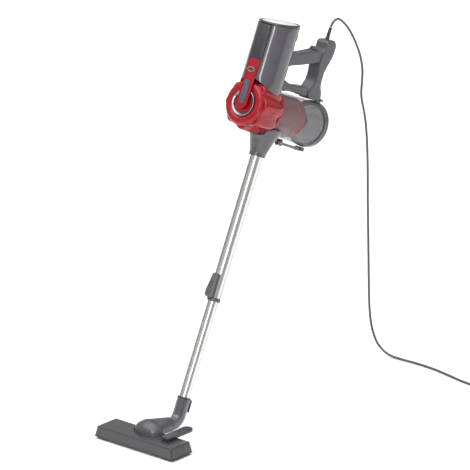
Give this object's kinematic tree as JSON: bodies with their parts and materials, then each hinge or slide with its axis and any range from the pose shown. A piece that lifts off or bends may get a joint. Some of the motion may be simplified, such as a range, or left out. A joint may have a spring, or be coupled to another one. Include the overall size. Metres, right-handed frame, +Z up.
{
  "type": "upright vacuum cleaner",
  "caption": "Corded stick vacuum cleaner: cyclone hand unit with loop handle on a telescopic wand and a wheeled floor head; cord hangs to a coil and plug.",
  "frame": {"origin": "on the floor, at the centre of the machine's box without its cord", "axes": "+Z up, the front of the floor head and of the drum face -Y, X along the floor head"},
  "size_m": [0.599, 1.1221, 1.0347],
  "materials": {
    "black_gloss": "gloss moulded",
    "grey_gloss": "gloss moulded",
    "grey_matte": "fine grained",
    "red_gloss": "gloss metallic red",
    "red_dark": "gloss dark red",
    "silver": "satin silver",
    "chrome": "polished",
    "steel": "drawn wire",
    "slate": "gloss",
    "clear": "clear smoke tint",
    "rubber": "matte",
    "filter_white": "pleated fibre",
    "motor_metal": "cast and wound"
  },
  "bodies": {
    "hand_unit": {"upper_tube": "chrome", "tube_bush": "rubber", "lock_base": "black_gloss", "inlet_nozzle": "grey_gloss", "motor_housing": "grey_gloss", "cap_rim": "black_gloss", "top_cap": "silver", "front_panel": "black_gloss", "front_tongue": "red_gloss", "slot_inlay": "slate", "badge": "black_gloss", "drum_cover": "red_gloss", "drum_bezel": "red_gloss", "drum_ring": "chrome", "motor": "motor_metal", "motor_mount": "rubber", "exhaust_filter": "filter_white", "dust_cup": "clear", "cyclone_body": "red_gloss", "cyclone_band": "red_dark", "cyclone_cone": "grey_matte", "hepa_filter": "filter_white", "hinge_bracket": "grey_matte", "hinge_pin": "steel", "latch_lug": "grey_matte", "latch_pin": "steel", "handle_grip": "grey_gloss", "handle_band": "grey_gloss", "upper_arm": "grey_gloss", "lower_arm": "grey_gloss", "strain_relief": "rubber", "cord_lead": "rubber", "cord_coil": "rubber", "cord_tail": "rubber", "plug": "rubber"},
    "rotor": {"motor_shaft": "steel", "impeller": "silver"},
    "door": {"bin_door": "clear", "door_seal": "rubber"},
    "latch": {"bin_latch": "grey_gloss"},
    "switch": {"power_switch": "black_gloss"},
    "release": {"wand_release_button": "black_gloss"},
    "lock": {"lock_slider": "grey_gloss"},
    "lower_wand": {"lower_tube": "chrome", "elbow": "grey_gloss", "parking_hook": "black_gloss"},
    "neck": {"neck_boot": "grey_gloss", "swivel_ring": "black_gloss"},
    "floor_head": {"head_sole": "grey_matte", "head_cover": "black_gloss", "pedal_bracket": "grey_matte", "pedal_pin": "steel", "axle_left": "steel", "axle_right": "steel"},
    "brushes": {"brush_carrier": "grey_matte", "bristles_front": "rubber", "bristles_rear": "rubber"},
    "pedal": {"brush_pedal": "black_gloss"},
    "left_wheel": {"wheel_left": "rubber"},
    "right_wheel": {"wheel_right": "rubber"}
  },
  "joints": [
    {"name": "motor_spin", "type": "hinge", "parent": "hand_unit", "child": "rotor", "pos_m": [0, 0.14048, 0.93095], "axis": [0, 0.4384, 0.8988], "continuous": true},
    {"name": "bin_door_hinge", "type": "hinge", "parent": "hand_unit", "child": "door", "pos_m": [0, 0.33574, 0.76784], "axis": [1, 0, 0], "range_deg": [0, 80]},
    {"name": "bin_latch_press", "type": "hinge", "parent": "hand_unit", "child": "latch", "pos_m": [0, 0.18087, 0.68984], "axis": [-1, 0, 0], "range_deg": [0, 8], "stiffness_Nm_per_rad": 0.3, "springref_deg": -5.73},
    {"name": "power_switch_rock", "type": "hinge", "parent": "hand_unit", "child": "switch", "pos_m": [0, 0.31734, 0.91033], "axis": [1, 0, 0], "range_deg": [-7, 7]},
    {"name": "wand_release_press", "type": "slide", "parent": "hand_unit", "child": "release", "axis": [0, -0.8988, 0.4384], "range_m": [0, 0.003], "stiffness_N_per_m": 300, "springref_m": -0.001},
    {"name": "wand_lock_slide", "type": "slide", "parent": "hand_unit", "child": "lock", "axis": [0, 0.4384, 0.8988], "range_m": [0, 0.006], "stiffness_N_per_m": 300, "springref_m": -0.001},
    {"name": "wand_telescope", "type": "slide", "parent": "hand_unit", "child": "lower_wand", "axis": [0, 0.4384, 0.8988], "range_m": [0, 0.21]},
    {"name": "head_swivel", "type": "hinge", "parent": "lower_wand", "child": "neck", "pos_m": [0, -0.2541, 0.03], "axis": [0, 1, 0], "range_deg": [-60, 60]},
    {"name": "head_tilt", "type": "hinge", "parent": "neck", "child": "floor_head", "pos_m": [0, -0.3301, 0.033], "axis": [-1, 0, 0], "range_deg": [-5, 30]},
    {"name": "pedal_rock", "type": "hinge", "parent": "floor_head", "child": "pedal", "pos_m": [0.077, -0.3241, 0.04], "axis": [-1, 0, 0], "range_deg": [0, 8]},
    {"name": "brush_lift", "type": "slide", "parent": "floor_head", "child": "brushes", "axis": [0, 0, 1], "range_m": [0, 0.004]},
    {"name": "wheel_left_spin", "type": "hinge", "parent": "floor_head", "child": "left_wheel", "pos_m": [-0.105, -0.3281, 0.01], "axis": [1, 0, 0], "continuous": true},
    {"name": "wheel_right_spin", "type": "hinge", "parent": "floor_head", "child": "right_wheel", "pos_m": [0.105, -0.3281, 0.01], "axis": [1, 0, 0], "continuous": true}
  ],
  "couplings": [
    {"joint": "brush_lift", "follows": "pedal_rock", "m_per_rad": 0.02864}
  ]
}
